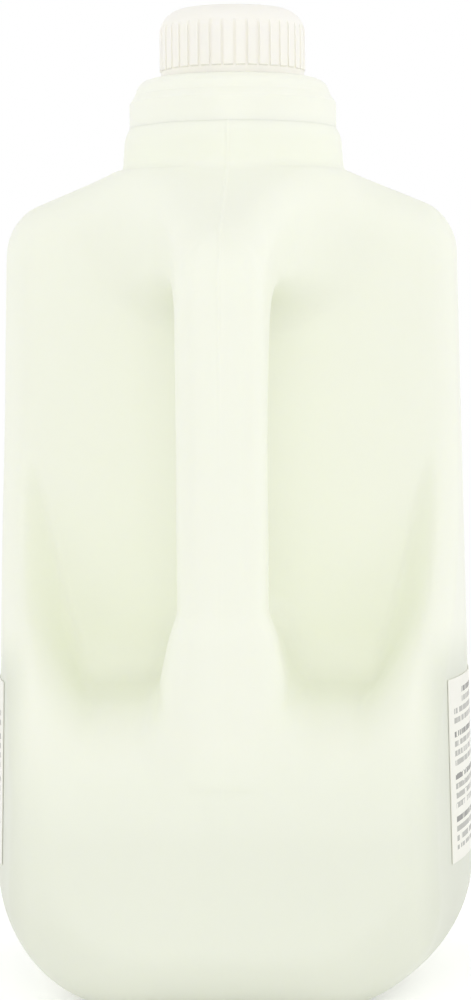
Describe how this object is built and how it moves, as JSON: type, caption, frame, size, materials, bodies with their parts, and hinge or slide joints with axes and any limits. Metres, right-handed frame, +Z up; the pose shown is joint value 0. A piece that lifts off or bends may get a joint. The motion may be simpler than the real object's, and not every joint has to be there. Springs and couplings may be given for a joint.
{
  "type": "laundry detergent jug",
  "caption": "Upright blow-moulded detergent jug of natural translucent plastic, with a rear loop handle, sloped shoulders, a stepped pour collar, a ribbed screw cap and low side labels.",
  "frame": {"origin": "middle of the footprint, on the surface the jug stands on, under the neck axis", "axes": "+X across the jug, square to its label sides; the grip is at -Y and the front face at +Y; +Z up along the neck axis"},
  "size_m": [0.1306, 0.166, 0.2682],
  "materials": {
    "natural_plastic": "satin, milky translucent pale green-white",
    "collar_plastic": "satin, milky translucent pale green-white",
    "cap_plastic": "frosted, milky translucent",
    "label_film": null
  },
  "bodies": {
    "root": {"jug_body": "natural_plastic", "pour_collar": "collar_plastic", "screw_cap": "cap_plastic", "label_right": "label_film", "label_left": "label_film"}
  },
  "joints": []
}
